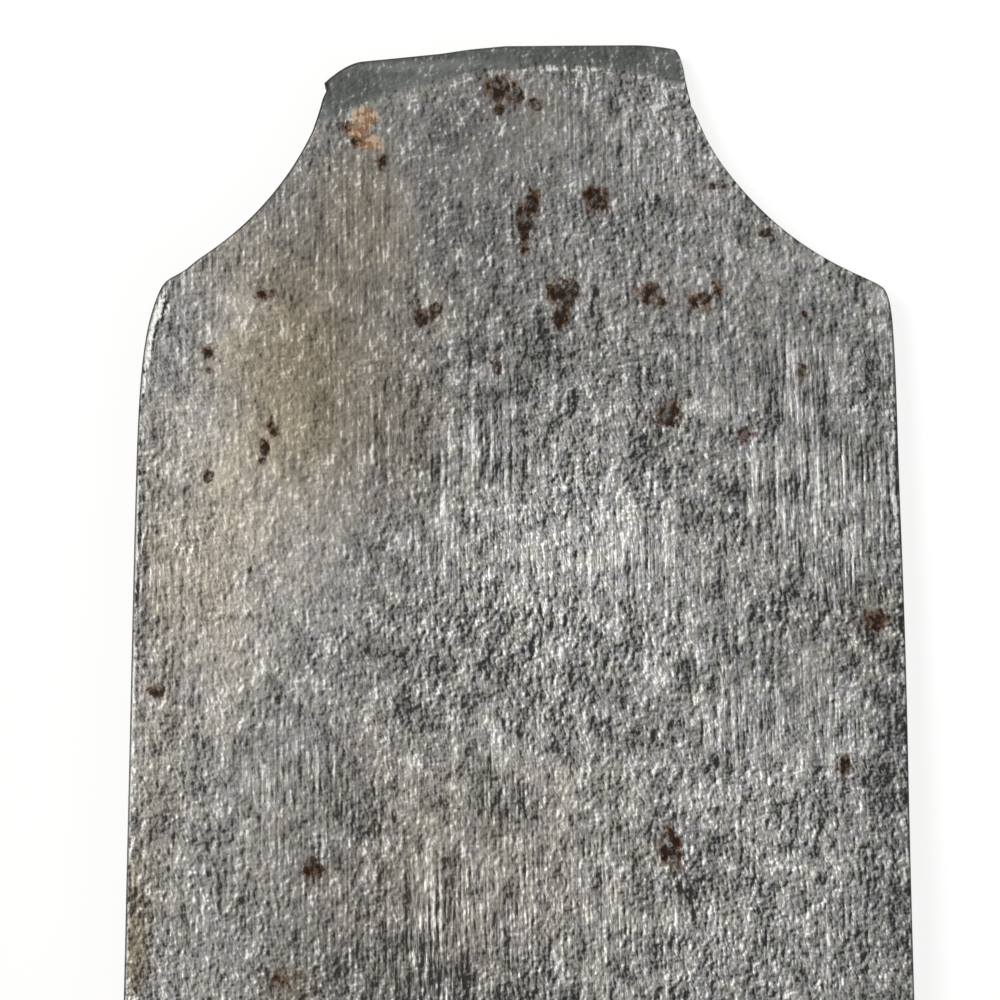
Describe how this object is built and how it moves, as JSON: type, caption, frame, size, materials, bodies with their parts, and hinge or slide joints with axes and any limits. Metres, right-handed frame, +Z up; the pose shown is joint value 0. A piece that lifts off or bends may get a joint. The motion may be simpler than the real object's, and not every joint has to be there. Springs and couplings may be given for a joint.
{
  "type": "wooden hand plane",
  "caption": "Old wooden jack plane taken down for honing: stock with tote, start and wedge, and its double iron lying beside it, ready to be clamped in the throat to plane wood.",
  "frame": {"origin": "middle of the sole, on the sole's surface, under the middle of the stock's length and width", "axes": "+X from the heel to the toe, +Y to the left of the person planing, +Z up from the sole"},
  "size_m": [0.406, 0.171, 0.1491],
  "materials": {
    "stock_beech": "old oiled beech, rubbed dark by handling, scuffed at the edges",
    "tote_beech": "beech polished by the hand",
    "wedge_beech": "old beech, its head bruised by the hammer",
    "boxwood": "end-grain boxwood, bruised by the hammer",
    "wrought_iron": "dull forged iron with lengthwise grain, brown stain and rust pits",
    "cast_steel": "hardened steel, rubbed flat on a stone",
    "cap_iron": "worn dull iron",
    "boss_iron": "turned iron, worn",
    "screw_iron": "dark iron with a worn driver slot"
  },
  "bodies": {
    "stock": {"stock": "stock_beech", "tote": "tote_beech", "tote_screw": "screw_iron", "start_button": "boxwood"},
    "wedge": {"wedge": "wedge_beech"},
    "double_iron": {"cutting_iron": "wrought_iron", "steel_face": "cast_steel"},
    "cap": {"cap_iron": "cap_iron", "cap_boss": "boss_iron"},
    "cap_screw": {"cap_screw": "screw_iron"}
  },
  "joints": [
    {"name": "wedge_slide", "type": "slide", "parent": "stock", "child": "wedge", "axis": [-0.7071, 0, 0.7071], "range_m": [0, 0.08]},
    {"name": "iron_lift", "type": "slide", "parent": "stock", "child": "double_iron", "axis": [0, 0, 1], "range_m": [0, 0.1]},
    {"name": "cap_slide", "type": "slide", "parent": "double_iron", "child": "cap", "axis": [0.9993, 0, -0.0384], "range_m": [-0.0015, 0.0455]},
    {"name": "cap_screw_turn", "type": "hinge", "parent": "cap", "child": "cap_screw", "pos_m": [-0.03442, -0.108, 0.00758], "axis": [-0.0384, 0, -0.9993], "range_deg": [0, 360]}
  ]
}
